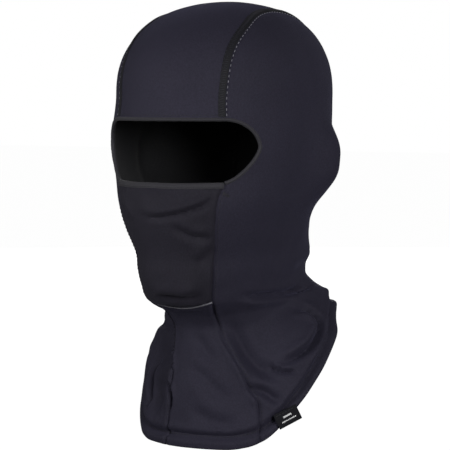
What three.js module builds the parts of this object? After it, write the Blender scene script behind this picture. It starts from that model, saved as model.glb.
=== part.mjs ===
// Full-face balaclava: a close-fitting knitted hood with one eye opening, a sewn-in face mask and a
// neck skirt whose hem sits much lower at the front than at the back.
// Millimetres. +Z is up, the wearer faces -Y and the wearer's left is +X.
import * as THREE from "three";

// ---- Driving dimensions ----
const CROWN_Z = 331; // top of the head
const CROWN_SHIFT = 7; // the crown lies this far behind the middle of the brow ring
const DOME_POWER = 2.25; // superellipse power of the skull's dome
const BROW_Z = 262; // widest ring of the skull
const JAW_Z = 137; // ring where the neck skirt starts
const HEM_BACK_Z = 97; // the hem at the back of the neck, the front of it being at zero
const NECK_SHIFT = 10; // the neck's axis lies this far behind the skull's
const NECK_BLEND = 50; // height over which the axis moves from one to the other
const FABRIC = 1.6; // thickness of one layer of the double knit
const LINING = 0.8; // thickness of the face mask's lining
const LINING_GAP = 1; // the lining hangs this far inside the mask
const CLEARANCE = 0.3; // between neighbouring pieces

const OPENING_TOP_Z = 243;
const OPENING_WIDEST_Z = 222.5;
const OPENING_BOTTOM_Z = 197.5;
const OPENING_STRAIGHT = 30; // degrees from the front at which the straight edges end
const OPENING_END = 17; // further degrees to the tip of each rounded end
const OPENING_UPPER_POWER = 1.9; // superellipse powers of the rounded ends, above and below their tips
const OPENING_LOWER_POWER = 1.4;
const BINDING_RADIUS = 1.5;
const EDGE_INSET = BINDING_RADIUS + CLEARANCE; // from the binding's middle to the fabric's edge
const BINDING_STITCH = 1.4; // the brow's stitches lie this far above the binding
const MASK_BAND_HEIGHT = 4.6;
const FLATLOCK_WIDTH = 5;
const FLATLOCK_HEIGHT = 0.5;
const THREAD_RADIUS = 0.45;
const THREAD_GAP = 0.6; // between a thread and the fabric under it
const PIPING_RADIUS = 0.8;
const FOLD_GAP = 1; // between the hem's two layers
const LABEL_STANDOFF = 2.5; // the label's middle plane outside the hem, clear of the hem's stitches
const HEM_HEIGHT = 8.5;

const CHIN_CORNER = [28, -67, 109]; // where the mask, neck and side panels meet on the wearer's left
const CHIN_CORNER_RIGHT = [-28, -67, 109];

const LABEL = { angle: 59, above: 8.5, tilt: 22, width: 19, height: 11.5, thickness: 0.6 };
const CARE_LABEL = { top: 152, y: 65.5, width: 20, height: 30, thickness: 0.5 };
const LABEL_SEAM = 1.6; // the label's stitch line below its sewn edge
const CROWN_FLAT = 1.5; // how far the ceiling inside the crown is levelled off

const NUDGE = 1e-3; // step in degrees, level or share over which directions on the surface are taken

// ---- The hood's outer surface ----
// A monotone cubic through (position, value) pairs, so that a profile never overshoots its points.
function profile(...points) {
  const x = points.map((p) => p[0]);
  const y = points.map((p) => p[1]);
  const width = x.slice(1).map((v, i) => v - x[i]);
  const rise = width.map((w, i) => (y[i + 1] - y[i]) / w);
  const slope = x.map((_, i) => {
    if (i === 0 || i === x.length - 1 || rise[i - 1] * rise[i] <= 0) return 0;
    const before = 2 * width[i] + width[i - 1];
    const after = width[i] + 2 * width[i - 1];
    return (before + after) / (before / rise[i - 1] + after / rise[i]);
  });
  return (at) => {
    const q = THREE.MathUtils.clamp(at, x[0], x[x.length - 1]);
    const next = x.findIndex((v, i) => i > 0 && q <= v);
    const i = next - 1;
    const t = (q - x[i]) / width[i];
    const fade = t * t * (3 - 2 * t);
    const bend = width[i] * t * (1 - t) * ((1 - t) * slope[i] - t * slope[next]);
    return y[i] * (1 - fade) + y[next] * fade + bend;
  };
}

// Reach of the head part to the front, to each side and to the back, by height.
const headFront = profile([137, 94], [162, 98], [187, 97], [205, 95], [224, 97.5], [262, 94.5]);
const headSide = profile([137, 54], [162, 61], [187, 72], [205, 76.5], [224, 77.5], [262, 77.5]);
const headBack = profile([137, 79], [158, 67], [174, 64], [187, 70], [205, 86], [224, 94], [262, 99]);
const cheekFullness = profile([137, 2], [174, 2.2], [200, 2.1], [224, 2.2], [262, 2]);
const napeFullness = profile([137, 2.4], [205, 2], [262, 2]);

// Reach of the neck skirt, from the jaw ring (0) to the hem (1); the last pairs set the hem's flare.
const skirtFront = profile(
  [0, 94], [0.15, 88], [0.205, 82], [0.24, 71], [0.29, 57], [0.38, 50], [0.65, 58], [1, 65], [1.3, 70],
);
const skirtLeft = profile(
  [0, 54], [0.2, 51], [0.35, 52], [0.5, 60], [0.65, 70], [0.8, 77.5], [1, 82.5], [1.3, 87],
);
const skirtRight = profile(
  [0, 54], [0.2, 50], [0.3, 46], [0.4, 38], [0.5, 38], [0.6, 46], [0.7, 57], [0.8, 65], [1, 69], [1.3, 72],
);
const skirtBack = profile([0, 79], [0.2, 78], [0.4, 77], [0.6, 79], [0.8, 83], [1, 87], [1.3, 93]);
// Height of the hem, by degrees from the front.
const hemHeight = profile(
  [0, 0], [26, 0], [38, 2], [48, 7], [66, 29], [88, 59], [112, 88], [126, 95], [180, HEM_BACK_Z],
);

// Mounds over the ears and the nose, as how far they stand out and over what size they fade.
const EAR = { reach: 13, y: 16, length: 17, z: 211, height: 27.5 };
const NOSE = { reach: 9, degrees: 19, z: 181, height: 22 };

// Distance from the axis to a superellipse section, at an angle from the front.
function sectionReach(angle, front, side, back, frontPower, backPower) {
  const ahead = Math.cos(angle);
  const power = ahead > 0 ? frontPower : backPower;
  const along = Math.abs(ahead) / (ahead > 0 ? front : back);
  const across = Math.abs(Math.sin(angle)) / side;
  return (across ** power + along ** power) ** (-1 / power);
}

function axisY(z) {
  return NECK_SHIFT * (1 - THREE.MathUtils.smoothstep(z, JAW_Z, JAW_Z + NECK_BLEND));
}

// How far back the dome leans at a height.
function domeShift(z) {
  return CROWN_SHIFT * ((z - BROW_Z) / (CROWN_Z - BROW_Z)) ** 2;
}

// How far the ears and the nose push the head part out.
function moundsAt(degrees, y, z) {
  const besideEar = ((y - EAR.y) / EAR.length) ** 2 + Math.abs((z - EAR.z) / EAR.height) ** 3;
  const besideNose = (degrees / NOSE.degrees) ** 2 + ((z - NOSE.z) / NOSE.height) ** 2;
  return EAR.reach * Math.exp(-besideEar) + NOSE.reach * Math.exp(-besideNose);
}

// A place on the hood: degrees from the front (positive to the wearer's left) and a level that is
// 0 at the crown, 1 at the brow ring, 2 at the jaw ring and 3 at the hem.
function hoodPoint({ degrees, level }) {
  const angle = THREE.MathUtils.degToRad(degrees);
  let reach;
  let z;
  let y;
  if (level <= 1) {
    const climb = (1 - level) * Math.PI / 2;
    const brow = sectionReach(
      angle, headFront(BROW_Z), headSide(BROW_Z), headBack(BROW_Z), cheekFullness(BROW_Z), 2,
    );
    const along = (Math.cos(climb) / brow) ** DOME_POWER;
    const ray = (along + (Math.sin(climb) / (CROWN_Z - BROW_Z)) ** DOME_POWER) ** (-1 / DOME_POWER);
    reach = ray * Math.cos(climb);
    z = BROW_Z + ray * Math.sin(climb);
    y = domeShift(z);
  } else if (level <= 2) {
    z = THREE.MathUtils.lerp(BROW_Z, JAW_Z, level - 1);
    y = axisY(z);
    reach = sectionReach(
      angle, headFront(z) + y, headSide(z), headBack(z) - y, cheekFullness(z), napeFullness(z),
    );
    reach += moundsAt(degrees, y - reach * Math.cos(angle), z);
  } else {
    const drop = level - 2;
    z = THREE.MathUtils.lerp(JAW_Z, hemHeight(Math.abs(degrees)), drop);
    y = NECK_SHIFT;
    const side = degrees >= 0 ? skirtLeft(drop) : skirtRight(drop);
    reach = sectionReach(angle, skirtFront(drop) + y, side, skirtBack(drop) - y, 2, 2.4 - 0.4 * drop);
  }
  return new THREE.Vector3(reach * Math.sin(angle), y - reach * Math.cos(angle), z);
}

// The place on the hood that lies on the ray from the head's axis through a point in space.
function placeOf(point) {
  if (point.z > BROW_Z) {
    const y = point.y - domeShift(point.z);
    const climb = Math.atan2(point.z - BROW_Z, Math.hypot(point.x, y));
    const degrees = THREE.MathUtils.radToDeg(Math.atan2(point.x, -y));
    return { degrees, level: 1 - climb / (Math.PI / 2) };
  }
  const y = point.y - (point.z > JAW_Z ? axisY(point.z) : NECK_SHIFT);
  const degrees = THREE.MathUtils.radToDeg(Math.atan2(point.x, -y));
  if (point.z > JAW_Z) return { degrees, level: 1 + (BROW_Z - point.z) / (BROW_Z - JAW_Z) };
  return { degrees, level: 2 + (JAW_Z - point.z) / (JAW_Z - hemHeight(Math.abs(degrees))) };
}

const onHood = (point) => hoodPoint(placeOf(point));
const headLevel = (z) => 1 + (BROW_Z - z) / (BROW_Z - JAW_Z);
const mirrored = (place) => ({ degrees: -place.degrees, level: place.level });
const mix = (a, b, t) => ({
  degrees: THREE.MathUtils.lerp(a.degrees, b.degrees, t),
  level: THREE.MathUtils.lerp(a.level, b.level, t),
});

// ---- Seam lines, each a function of 0 to 1 that gives a place on the hood ----
// A smooth line through a few points that lie close to the hood's surface.
function seamLine(points) {
  const line = new THREE.CatmullRomCurve3(points.map((p) => new THREE.Vector3(...p)));
  return (t) => placeOf(line.getPointAt(t));
}

// The same, with its last point brought exactly onto the hem.
function seamToHem(points) {
  const line = seamLine(points);
  const short = 3 - line(1).level;
  return (t) => ({ degrees: line(t).degrees, level: line(t).level + short * t * t });
}

// From the top edge of the eye opening over the crown and down the nape to the back hem.
const leftCrownSeam = seamToHem([
  [46, -79, OPENING_TOP_Z + EDGE_INSET], [45, -77, 261], [45.5, -68, 290], [45, -45, 309], [42, -16, 321],
  [41, 30, 318], [41, 78, 288], [38, 84, 225], [30, 62, 172], [33, 68, 140], [38, 80, HEM_BACK_Z],
]);
const leftMaskSeam = seamLine([
  [46, -78, OPENING_BOTTOM_Z - EDGE_INSET], [42, -82, 186], [39, -81, 168], [35, -75, 150], [32, -72, 131],
  CHIN_CORNER,
]);
const chinSeam = seamLine([CHIN_CORNER, [16, -69, 105], [0, -69, 103], [-16, -69, 105], CHIN_CORNER_RIGHT]);
// The front neck panel spreads towards the wearer's left, and folds in on the right.
const leftNeckSeam = seamToHem([
  CHIN_CORNER, [21, -51, 96], [24, -44, 79], [34, -44, 64], [46, -44, 44], [52, -42, 33], [56, -45, 4.5],
]);
const rightNeckSeam = seamToHem([
  CHIN_CORNER_RIGHT, [-20, -49, 94], [-18, -47, 67], [-14, -55, 50], [-13, -60, 30], [-15, -63, 0],
]);
const rightCrownSeam = (t) => mirrored(leftCrownSeam(t));
const rightMaskSeam = (t) => mirrored(leftMaskSeam(t));

// The rounded end of the eye opening, from its top corner (0) to its bottom corner (1).
// Grow moves the edge outwards by that many millimetres.
function openingEnd(t, grow) {
  const turn = t * Math.PI;
  const upper = turn < Math.PI / 2;
  const power = upper ? OPENING_UPPER_POWER : OPENING_LOWER_POWER;
  const reach = OPENING_END + THREE.MathUtils.radToDeg(grow / headFront(OPENING_WIDEST_Z));
  const height = (upper ? OPENING_TOP_Z - OPENING_WIDEST_Z : OPENING_WIDEST_Z - OPENING_BOTTOM_Z) + grow;
  const out = Math.abs(Math.sin(turn)) ** (2 / power);
  const up = Math.sign(Math.cos(turn)) * Math.abs(Math.cos(turn)) ** (2 / power);
  return {
    degrees: OPENING_STRAIGHT + reach * out,
    level: headLevel(OPENING_WIDEST_Z + height * up),
  };
}

// ---- Sheets of fabric ----
// A patch bounded by four lines: top and bottom run in u, start and end run in v.
function patchBetween(top, bottom, start, end) {
  return (u, v) => {
    const across = mix(top(u), bottom(u), v);
    const along = mix(start(v), end(v), u);
    const corners = mix(mix(top(0), top(1), u), mix(bottom(0), bottom(1), u), v);
    return hoodPoint({
      degrees: across.degrees + along.degrees - corners.degrees,
      level: across.level + along.level - corners.level,
    });
  };
}

// A sheet that follows patch(u, v), from outer to inner millimetres along the outward normal.
// Margins are the shares of u and v left free at the edges. A sheet that ends on the hem has a level
// bottom edge, and a ceiling flattens the inner face at that height.
function sheet(patch, {
  columns, rows, outer = 0, inner = outer - FABRIC, sides = 0, top = 0, bottom = 0,
  ring = false, onHem = false, ceiling = Infinity,
}) {
  const faceOut = (u, v) => {
    const du = patch(Math.min(u + NUDGE, 1), v).sub(patch(Math.max(u - NUDGE, 0), v));
    const dv = patch(u, Math.min(v + NUDGE, 1)).sub(patch(u, Math.max(v - NUDGE, 0)));
    return dv.cross(du).normalize();
  };
  const count = ring ? columns : columns + 1;
  const layers = [outer, inner].map((offset, layer) => {
    const points = [];
    for (let row = 0; row <= rows; row += 1) {
      for (let column = 0; column < count; column += 1) {
        const u = THREE.MathUtils.lerp(sides, 1 - sides, column / columns);
        const v = THREE.MathUtils.lerp(top, 1 - bottom, row / rows);
        const base = patch(u, v);
        const point = base.clone().addScaledVector(faceOut(u, v), offset);
        if (onHem && row === rows) point.z = base.z;
        if (layer) point.z = Math.min(point.z, ceiling);
        points.push(point);
      }
    }
    return points;
  });
  const size = layers[0].length;
  const faces = [];
  const quad = (a, b, c, d) => faces.push(a, b, c, a, c, d);
  const at = (row, column, layer) => layer * size + row * count + (column % count);
  for (let row = 0; row < rows; row += 1) {
    for (let column = 0; column < columns; column += 1) {
      quad(at(row, column, 0), at(row + 1, column, 0), at(row + 1, column + 1, 0), at(row, column + 1, 0));
      quad(at(row, column, 1), at(row, column + 1, 1), at(row + 1, column + 1, 1), at(row + 1, column, 1));
    }
  }
  for (let column = 0; column < columns; column += 1) {
    quad(at(0, column, 0), at(0, column + 1, 0), at(0, column + 1, 1), at(0, column, 1));
    quad(at(rows, column + 1, 0), at(rows, column, 0), at(rows, column, 1), at(rows, column + 1, 1));
  }
  for (let row = 0; row < rows && !ring; row += 1) {
    quad(at(row + 1, 0, 0), at(row, 0, 0), at(row, 0, 1), at(row + 1, 0, 1));
    quad(at(row, columns, 0), at(row + 1, columns, 0), at(row + 1, columns, 1), at(row, columns, 1));
  }
  const geometry = new THREE.BufferGeometry().setFromPoints(layers.flat());
  geometry.setIndex(faces);
  geometry.computeVertexNormals();
  return geometry;
}

function outwardAt(place) {
  const here = hoodPoint(place);
  const along = hoodPoint({ ...place, degrees: place.degrees + NUDGE }).sub(here);
  const down = hoodPoint({ ...place, level: place.level + NUDGE }).sub(here);
  return down.cross(along).normalize();
}

// A flat strip along a line of places, between two distances to the right of it (looking ahead).
function ribbon(line, rightFrom, rightTo) {
  return (u, v) => {
    const place = line(v);
    const ahead = hoodPoint(line(Math.min(v + NUDGE, 1))).sub(hoodPoint(line(Math.max(v - NUDGE, 0))));
    const right = ahead.cross(outwardAt(place)).normalize();
    const aside = THREE.MathUtils.lerp(rightTo, rightFrom, u);
    return onHood(hoodPoint(place).addScaledVector(right, aside));
  };
}

// A round thread or binding that follows a line of places, standing off the outer surface.
function cord(line, { radius, segments, standoff = THREAD_GAP + radius, from = 0, to = 1, sides = 4 }) {
  const points = [];
  for (let i = 0; i <= segments; i += 1) {
    const place = line(THREE.MathUtils.lerp(from, to, i / segments));
    points.push(hoodPoint(place).addScaledVector(outwardAt(place), standoff));
  }
  const section = new THREE.Shape().absarc(0, 0, radius, 0, 2 * Math.PI);
  return new THREE.ExtrudeGeometry(section, {
    extrudePath: new THREE.CatmullRomCurve3(points),
    steps: segments,
    curveSegments: sides / 2,
    bevelEnabled: false,
  });
}

// ---- Pieces ----
const hood = new THREE.Group();

function piece(name, geometry, { color, roughness = 0.85, metalness = 0 }, parent = hood) {
  const material = new THREE.MeshStandardMaterial({ color, roughness, metalness });
  const mesh = new THREE.Mesh(geometry, material);
  mesh.name = name;
  parent.add(mesh);
  return mesh;
}

const KNIT = { color: 0x2a2935, roughness: 0.8 };
const MASK_KNIT = { color: 0x26242d, roughness: 0.85 };
const EDGING = { color: 0x34333b, roughness: 0.75 };
const THREAD = { color: 0x4a4954, roughness: 0.6 };
const ELASTIC = { color: 0x1c1c20, roughness: 0.9 };
const WOVEN = { color: 0x0c0c10, roughness: 0.6 };
const SATIN = { color: 0xd8d8d4, roughness: 0.5 };

const CROWN_ROWS = 38;
// Grid of each side panel: rows over the dome, then beside the opening, the mask and the neck.
const DOME_ROWS = 6;
const OPENING_ROWS = 8;
const MASK_ROWS = 7;
const NECK_ROWS = 12;
const SIDE_ROWS = DOME_ROWS + OPENING_ROWS + MASK_ROWS + NECK_ROWS;
const SIDE_COLUMNS = 12;
// Where the dome's grid has its front and back corners on the crown seam.
const DOME_FRONT = 0.15;
const DOME_BACK = 0.55;

// How far along the back half of a crown seam it comes down to a level.
function seamShareAt(line, level) {
  let low = DOME_BACK;
  let high = 1;
  for (let i = 0; i < 24; i += 1) {
    const share = (low + high) / 2;
    if (line(share).level < level) low = share;
    else high = share;
  }
  return high;
}

// A side panel, from its front border (u 0) to the crown seam at the back (u 1), top to hem in v.
function sidePatch(crownSeam, end, maskSeam, neckSeam) {
  const front = (row) => {
    if (row < OPENING_ROWS) return end(row / OPENING_ROWS);
    if (row < OPENING_ROWS + MASK_ROWS) return maskSeam((row - OPENING_ROWS) / MASK_ROWS);
    return neckSeam(Math.min((row - OPENING_ROWS - MASK_ROWS) / NECK_ROWS, 1));
  };
  const brow = end(0);
  const browBack = seamShareAt(crownSeam, brow.level);
  const dome = patchBetween(
    (u) => crownSeam(THREE.MathUtils.lerp(DOME_FRONT, DOME_BACK, u)),
    (u) => mix(brow, crownSeam(browBack), u),
    (v) => crownSeam(DOME_FRONT * (1 - v)),
    (v) => crownSeam(THREE.MathUtils.lerp(DOME_BACK, browBack, v)),
  );
  return (u, v) => {
    const row = v * SIDE_ROWS;
    if (row < DOME_ROWS) return dome(u, row / DOME_ROWS);
    const start = front(row - DOME_ROWS);
    const back = crownSeam(seamShareAt(crownSeam, start.level));
    return hoodPoint({ degrees: THREE.MathUtils.lerp(start.degrees, back.degrees, u), level: start.level });
  };
}

const alongHem = (from, to) => (u) => ({ degrees: THREE.MathUtils.lerp(from, to, u), level: 3 });

function crownCentrePanel() {
  const patch = (u, v) => {
    const left = hoodPoint(leftCrownSeam(v));
    const right = hoodPoint(rightCrownSeam(v));
    return onHood(left.lerp(right, u));
  };
  return sheet(patch, {
    columns: 12, rows: CROWN_ROWS, sides: 0.005, onHem: true, ceiling: CROWN_Z - FABRIC - CROWN_FLAT,
  });
}

const sideSheet = { columns: SIDE_COLUMNS, rows: SIDE_ROWS, sides: 0.004, top: 0.002, onHem: true };

function leftSidePanel() {
  const end = (t) => openingEnd(t, EDGE_INSET);
  return sheet(sidePatch(leftCrownSeam, end, leftMaskSeam, leftNeckSeam), sideSheet);
}

function rightSidePanel() {
  const end = (t) => mirrored(openingEnd(t, EDGE_INSET));
  const patch = sidePatch(rightCrownSeam, end, rightMaskSeam, rightNeckSeam);
  return sheet((u, v) => patch(1 - u, v), sideSheet);
}

// The mask spans between its two seams, from a height below the eye opening down to the chin seam.
function maskPatch(topZ) {
  const seamPoint = (seam) => (t) => {
    const start = (OPENING_BOTTOM_Z - topZ) / (OPENING_BOTTOM_Z - CHIN_CORNER[2]);
    return seam(THREE.MathUtils.lerp(start, 1, t));
  };
  const left = seamPoint(leftMaskSeam);
  const right = seamPoint(rightMaskSeam);
  const top = (u) => mix(right(0), left(0), u);
  return patchBetween(top, (u) => chinSeam(1 - u), right, left);
}

// A level strip below the eye opening, between two heights and within half its width in degrees.
function maskStrip(topZ, bottomZ, halfWidth) {
  return (u, v) => hoodPoint({
    degrees: THREE.MathUtils.lerp(-halfWidth, halfWidth, u),
    level: headLevel(THREE.MathUtils.lerp(topZ, bottomZ, v)),
  });
}

const bandTop = OPENING_BOTTOM_Z + 0.5;
const bandBottom = bandTop - MASK_BAND_HEIGHT;
const bandInner = -2 * FABRIC + 0.2;
const liningOuter = -FABRIC - LINING_GAP;

function frontNeckPanel() {
  const patch = patchBetween(
    (u) => chinSeam(1 - u),
    alongHem(rightNeckSeam(1).degrees, leftNeckSeam(1).degrees),
    rightNeckSeam,
    leftNeckSeam,
  );
  return sheet(patch, { columns: 8, rows: NECK_ROWS, sides: 0.008, top: 0.004, onHem: true });
}

piece("crown_centre_panel", crownCentrePanel(), KNIT);
piece("left_side_panel", leftSidePanel(), KNIT);
piece("right_side_panel", rightSidePanel(), KNIT);
piece("front_neck_panel", frontNeckPanel(), KNIT);
piece("face_mask_panel", sheet(maskPatch(bandBottom - CLEARANCE), {
  columns: 8, rows: 10, sides: 0.006, bottom: 0.004,
}), MASK_KNIT);
piece("face_mask_lining", sheet(maskPatch(bandBottom - 6), {
  columns: 8, rows: 10, outer: liningOuter, inner: liningOuter - LINING, sides: 0.05, bottom: 0.18,
}), MASK_KNIT);
piece("mask_top_band", sheet(maskStrip(bandTop, bandBottom, OPENING_STRAIGHT - 1.5), {
  columns: 10, rows: 1, inner: bandInner,
}), EDGING);
piece("mask_top_elastic", sheet(maskStrip(bandTop - 0.8, bandBottom + 0.8, OPENING_STRAIGHT - 3), {
  columns: 10, rows: 1, outer: bandInner - CLEARANCE, inner: bandInner - CLEARANCE - 0.6,
}), ELASTIC);

// ---- Edges, seams and stitches ----
// Round one end of the eye opening, along its top edge and round the other end.
function openingEdge(t) {
  const third = 3 * t;
  if (third <= 1) return openingEnd(1 - third, 0);
  if (third >= 2) return mirrored(openingEnd(third - 2, 0));
  return {
    degrees: THREE.MathUtils.lerp(OPENING_STRAIGHT, -OPENING_STRAIGHT, third - 1),
    level: headLevel(OPENING_TOP_Z),
  };
}

// A place a few millimetres above the hem.
function aboveHem(degrees, height) {
  return { degrees, level: 3 - height / (JAW_Z - hemHeight(Math.abs(degrees))) };
}

piece("eye_opening_binding", cord(openingEdge, {
  radius: BINDING_RADIUS, standoff: -FABRIC / 2, segments: 3 * OPENING_ROWS, sides: 8,
}), EDGING);

// The strips share the centre panel's rows, and stop one row above the hem.
const flatlock = {
  columns: 1,
  rows: CROWN_ROWS - 1,
  outer: CLEARANCE + FLATLOCK_HEIGHT,
  inner: CLEARANCE,
  bottom: 1 / CROWN_ROWS,
};
const leftFlatlock = ribbon(leftCrownSeam, -FLATLOCK_WIDTH, 0);
const rightFlatlock = ribbon(rightCrownSeam, 0, FLATLOCK_WIDTH);
piece("left_crown_flatlock_seam", sheet(leftFlatlock, flatlock), THREAD);
piece("right_crown_flatlock_seam", sheet(rightFlatlock, flatlock), THREAD);

const thread = { radius: THREAD_RADIUS, segments: 16 };
piece("left_mask_seam_thread", cord(leftMaskSeam, { ...thread, from: 0.06, to: 0.96 }), THREAD);
piece("right_mask_seam_thread", cord(rightMaskSeam, { ...thread, from: 0.06, to: 0.96 }), THREAD);
piece("left_neck_seam_thread", cord(leftNeckSeam, { ...thread, from: 0.25, to: 0.88 }), THREAD);
piece("right_neck_seam_thread", cord(rightNeckSeam, { ...thread, from: 0.25, to: 0.88 }), THREAD);
piece("chin_seam_piping", cord(chinSeam, { radius: PIPING_RADIUS, segments: 12 }), EDGING);

const bandStitch = (t) => ({
  degrees: THREE.MathUtils.lerp(-1, 1, t) * (OPENING_STRAIGHT - 2),
  level: headLevel(bandBottom + THREAD_RADIUS + 0.2),
});
piece("mask_band_stitch", cord(bandStitch, thread), THREAD);

const bindingStitch = (t) => {
  const edge = openingEdge(t);
  const outwards = (BINDING_RADIUS + BINDING_STITCH) / (BROW_Z - JAW_Z);
  return { degrees: edge.degrees, level: edge.level - outwards };
};
piece("brow_binding_stitch", cord(bindingStitch, { ...thread, from: 0.36, to: 0.64 }), THREAD);

const roundHem = (t) => aboveHem(THREE.MathUtils.lerp(-178, 178, t), HEM_HEIGHT);
piece("hem_stitch_thread", cord(roundHem, { radius: THREAD_RADIUS, segments: 60 }), THREAD);

const hemFold = (u, v) => hoodPoint(aboveHem(
  THREE.MathUtils.lerp(-180, 180, u),
  THREE.MathUtils.lerp(HEM_HEIGHT - 1, 0.6, v),
));
piece("hem_fold", sheet(hemFold, {
  columns: 48, rows: 1, outer: -FABRIC - FOLD_GAP, inner: -2 * FABRIC - FOLD_GAP + 0.4, ring: true,
}), KNIT);

// ---- Labels, each hanging from its sewn top edge and hinged there ----
// A woven tab with its line of stitches; it hangs down from its group's origin, facing -Y.
function tab(name, { width, height, thickness }, finish, stitchFinish) {
  const group = new THREE.Group();
  const cloth = piece(name, new THREE.BoxGeometry(width, thickness, height), finish, group);
  cloth.position.set(0, 0, -height / 2);
  const line = new THREE.CylinderGeometry(THREAD_RADIUS, THREAD_RADIUS, width - 3, 6);
  const stitch = piece(`${name}_stitch`, line, stitchFinish, group);
  stitch.rotation.z = Math.PI / 2;
  stitch.position.set(0, -thickness / 2 - CLEARANCE - THREAD_RADIUS, -LABEL_SEAM);
  hood.add(group);
  return group;
}

const hemLabel = tab("hem_label", LABEL, WOVEN, THREAD);
const labelPlace = aboveHem(LABEL.angle, LABEL.above);
const hemAhead = hoodPoint(aboveHem(LABEL.angle + 1, LABEL.above));
const labelOut = outwardAt(labelPlace);
const labelAlong = hemAhead.sub(hoodPoint(labelPlace)).projectOnPlane(labelOut).normalize();
const labelInward = labelOut.clone().negate();
const labelBasis = new THREE.Matrix4().makeBasis(
  labelAlong, labelInward, labelAlong.clone().cross(labelInward),
);
hemLabel.quaternion.setFromRotationMatrix(labelBasis);
hemLabel.rotateY(THREE.MathUtils.degToRad(LABEL.tilt));
hemLabel.position.copy(hoodPoint(labelPlace)).addScaledVector(labelOut, LABEL_STANDOFF);

const careLabel = tab("care_label", CARE_LABEL, SATIN, SATIN);
careLabel.position.set(0, CARE_LABEL.y, CARE_LABEL.top);

// ---- The part's origin is the middle of the bottom of its box ----
hood.updateMatrixWorld(true);
const box = new THREE.Box3().setFromObject(hood);
const middle = box.getCenter(new THREE.Vector3());
hood.position.set(-middle.x, -middle.y, -box.min.z);

const balaclava = new THREE.Group();
balaclava.add(hood);
export default balaclava;
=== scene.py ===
import math
import bmesh
import bpy
import numpy as np
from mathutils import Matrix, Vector
from mathutils.bvhtree import BVHTree
from mathutils.kdtree import KDTree


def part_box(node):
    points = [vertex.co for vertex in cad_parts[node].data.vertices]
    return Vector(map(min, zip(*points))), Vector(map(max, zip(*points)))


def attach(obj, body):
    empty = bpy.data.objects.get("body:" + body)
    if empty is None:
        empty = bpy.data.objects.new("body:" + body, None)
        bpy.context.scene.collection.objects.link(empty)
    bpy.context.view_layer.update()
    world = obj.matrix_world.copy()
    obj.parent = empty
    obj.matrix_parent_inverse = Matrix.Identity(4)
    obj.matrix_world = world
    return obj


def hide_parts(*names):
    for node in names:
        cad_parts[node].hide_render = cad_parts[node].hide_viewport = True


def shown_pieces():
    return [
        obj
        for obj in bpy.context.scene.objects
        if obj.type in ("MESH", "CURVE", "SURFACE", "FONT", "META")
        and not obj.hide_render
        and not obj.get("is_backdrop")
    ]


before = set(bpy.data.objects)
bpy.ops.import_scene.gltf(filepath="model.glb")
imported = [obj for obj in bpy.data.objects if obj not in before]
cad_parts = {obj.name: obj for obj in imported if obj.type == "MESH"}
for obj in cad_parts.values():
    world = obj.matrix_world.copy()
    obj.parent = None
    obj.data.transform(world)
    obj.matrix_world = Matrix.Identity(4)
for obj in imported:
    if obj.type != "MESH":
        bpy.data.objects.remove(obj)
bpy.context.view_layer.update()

MM = 0.001

# ---- Driving dimensions ----
CROWN_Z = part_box("crown_centre_panel")[1].z / MM
BROW_Z = 262.0
JAW_Z = 137.0
HEM_BACK_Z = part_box("crown_centre_panel")[0].z / MM
NECK_SHIFT = 10.0  # how far behind the head's axis the neck's axis lies
NECK_BLEND = 50.0  # height above the jaw over which it moves back
FABRIC = 1.5  # thickness of the knit
CROWN_SHIFT = 7.0  # how far back the crown leans
DOME_POWER = 2.25  # roundness of the crown's profile
# The eye opening; half its straight top edge and each rounded end are in degrees round the head.
OPENING_TOP_Z, OPENING_WIDEST_Z, OPENING_BOTTOM_Z = 243.0, 222.5, 197.5
OPENING_STRAIGHT, OPENING_END = 30.0, 17.0
OPENING_UPPER_POWER, OPENING_LOWER_POWER = 1.9, 1.4
BAND_HEIGHT = 4.6
HEM_HEIGHT = 8.5  # of the stitches above the hem
FLATLOCK_WIDTH = 5.2
TOPSTITCH_ASIDE = 1.9  # from a plain seam to the row of stitches beside it
BROW_STITCH_ABOVE = 2.9  # above the edge of the eye opening
BAND_MIDDLE_Z = OPENING_BOTTOM_Z - 1.9
BAND_STITCH_Z = OPENING_BOTTOM_Z - 3.3
BINDING_RADIUS = 1.35
LINING_GAP, LINING_THICKNESS = 0.8, 0.7
MM_PER_DEGREE = 1.4  # round the head, on average

# The hood's own frame lies this far in front of the row frame.
CARE_LABEL_Y = 65.5
care_low, care_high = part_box("care_label")
ROW_SHIFT = np.array([0.0, (care_low.y + care_high.y) / 2 / MM - CARE_LABEL_Y, 0.0])


def to_row(points):
    return (np.asarray(points, float) + ROW_SHIFT) * MM


# ---- The hood's outer surface, as in the CAD design ----
def profile(*pairs):
    """A monotone cubic through (position, value) pairs, level at both ends."""
    x, y = np.array(pairs, float).T
    width = np.diff(x)
    rise = np.diff(y) / width
    slope = np.zeros_like(y)
    for i in range(1, len(x) - 1):
        if rise[i - 1] * rise[i] > 0:
            before = 2 * width[i] + width[i - 1]
            after = width[i] + 2 * width[i - 1]
            slope[i] = (before + after) / (before / rise[i - 1] + after / rise[i])

    def at(position):
        q = np.clip(position, x[0], x[-1])
        i = np.clip(np.searchsorted(x, q, side="right") - 1, 0, len(x) - 2)
        t = (q - x[i]) / width[i]
        fade = t * t * (3 - 2 * t)
        bend = width[i] * t * (1 - t) * ((1 - t) * slope[i] - t * slope[i + 1])
        return y[i] * (1 - fade) + y[i + 1] * fade + bend

    return at


# Reach of the head part to the front, to each side and to the back, by height.
head_front = profile((137, 94), (162, 98), (187, 97), (205, 95), (224, 97.5), (262, 94.5))
head_side = profile((137, 54), (162, 61), (187, 72), (205, 76.5), (224, 77.5), (262, 77.5))
head_back = profile((137, 79), (158, 67), (174, 64), (187, 70), (205, 86), (224, 94), (262, 99))
cheek_fullness = profile((137, 2), (174, 2.2), (200, 2.1), (224, 2.2), (262, 2))
nape_fullness = profile((137, 2.4), (205, 2), (262, 2))
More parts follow.
